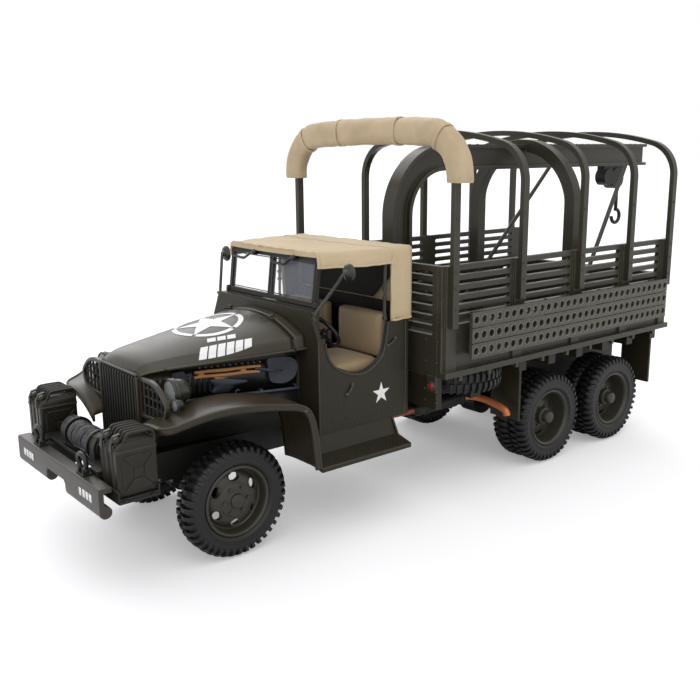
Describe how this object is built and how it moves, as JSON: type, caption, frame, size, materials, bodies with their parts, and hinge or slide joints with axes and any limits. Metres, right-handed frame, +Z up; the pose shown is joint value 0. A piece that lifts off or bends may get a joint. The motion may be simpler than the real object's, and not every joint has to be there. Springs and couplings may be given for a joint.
{
  "type": "scale model military cargo truck with bed hoist",
  "caption": "Scale model of an open-cab three-axle military cargo truck: slatted bed, open cover bows, canvas roll, curved hoist beam with hook, winch and fuel cans in front, wheelsets that roll.",
  "frame": {"origin": "On the ground under the middle of the overall length, on the centre plane.", "axes": "+X points to the front bumper, +Y to the truck's left side, +Z up."},
  "size_m": [0.179, 0.0598, 0.0801],
  "materials": {
    "olive_paint": "satin olive drab paint",
    "dark_plastic": "satin near-black olive plastic",
    "tyre_rubber": "matt black rubber",
    "steel_pin": "drawn steel",
    "canvas_tan": "moulded canvas relief, matt tan",
    "seat_tan": "matt tan",
    "clear_screen": "clear glazing",
    "lens_clear": "clear and red lenses",
    "copper_paint": "copper paint"
  },
  "bodies": {
    "root": {"bed_floor": "olive_paint", "bed_front": "olive_paint", "bed_side_left": "olive_paint", "bed_side_right": "olive_paint", "bed_underframe": "olive_paint", "bogie_axles": "dark_plastic", "bow_1": "olive_paint", "bow_2": "olive_paint", "bow_3": "olive_paint", "bow_4": "olive_paint", "bow_5": "olive_paint", "cab_body": "olive_paint", "canvas_roll": "canvas_tan", "canvas_top": "canvas_tan", "chassis_frame": "dark_plastic", "display_screw_posts": "dark_plastic", "drivetrain": "dark_plastic", "engine_bay": "olive_paint", "exhaust": "copper_paint", "front_axle": "dark_plastic", "front_bumper": "olive_paint", "front_fenders": "olive_paint", "fuel_cans": "olive_paint", "fuel_tank": "olive_paint", "grille": "olive_paint", "headlamps": "olive_paint", "hoist_beam": "olive_paint", "hoist_block": "dark_plastic", "hoist_braces": "olive_paint", "hoist_hoop": "olive_paint", "hood": "olive_paint", "lamp_lenses": "lens_clear", "leaf_springs": "dark_plastic", "mirrors": "dark_plastic", "plank_panels": "olive_paint", "running_boards": "olive_paint", "seats": "seat_tan", "spare_rim": "olive_paint", "spare_tyre": "tyre_rubber", "steering_wheel": "dark_plastic", "tailgate": "olive_paint", "winch_drum": "dark_plastic", "winch_frame": "olive_paint", "windshield_frame": "olive_paint", "windshield_glass": "clear_screen"},
    "front_wheelset": {"front_axle_pin": "steel_pin", "front_rim_left": "olive_paint", "front_rim_right": "olive_paint", "front_tyre_left": "tyre_rubber", "front_tyre_right": "tyre_rubber"},
    "middle_wheelset": {"middle_axle_pin": "steel_pin", "middle_rims_left": "olive_paint", "middle_rims_right": "olive_paint", "middle_tyres_left": "tyre_rubber", "middle_tyres_right": "tyre_rubber"},
    "rear_wheelset": {"rear_axle_pin": "steel_pin", "rear_rims_left": "olive_paint", "rear_rims_right": "olive_paint", "rear_tyres_left": "tyre_rubber", "rear_tyres_right": "tyre_rubber"}
  },
  "joints": [
    {"name": "front_wheelset_roll", "type": "hinge", "parent": "root", "child": "front_wheelset", "pos_m": [0.06317, 0, 0.01085], "axis": [0, 1, 0], "continuous": true},
    {"name": "middle_wheelset_roll", "type": "hinge", "parent": "root", "child": "middle_wheelset", "pos_m": [-0.02101, 0, 0.01085], "axis": [0, 1, 0], "continuous": true},
    {"name": "rear_wheelset_roll", "type": "hinge", "parent": "root", "child": "rear_wheelset", "pos_m": [-0.04627, 0, 0.01085], "axis": [0, 1, 0], "continuous": true}
  ]
}
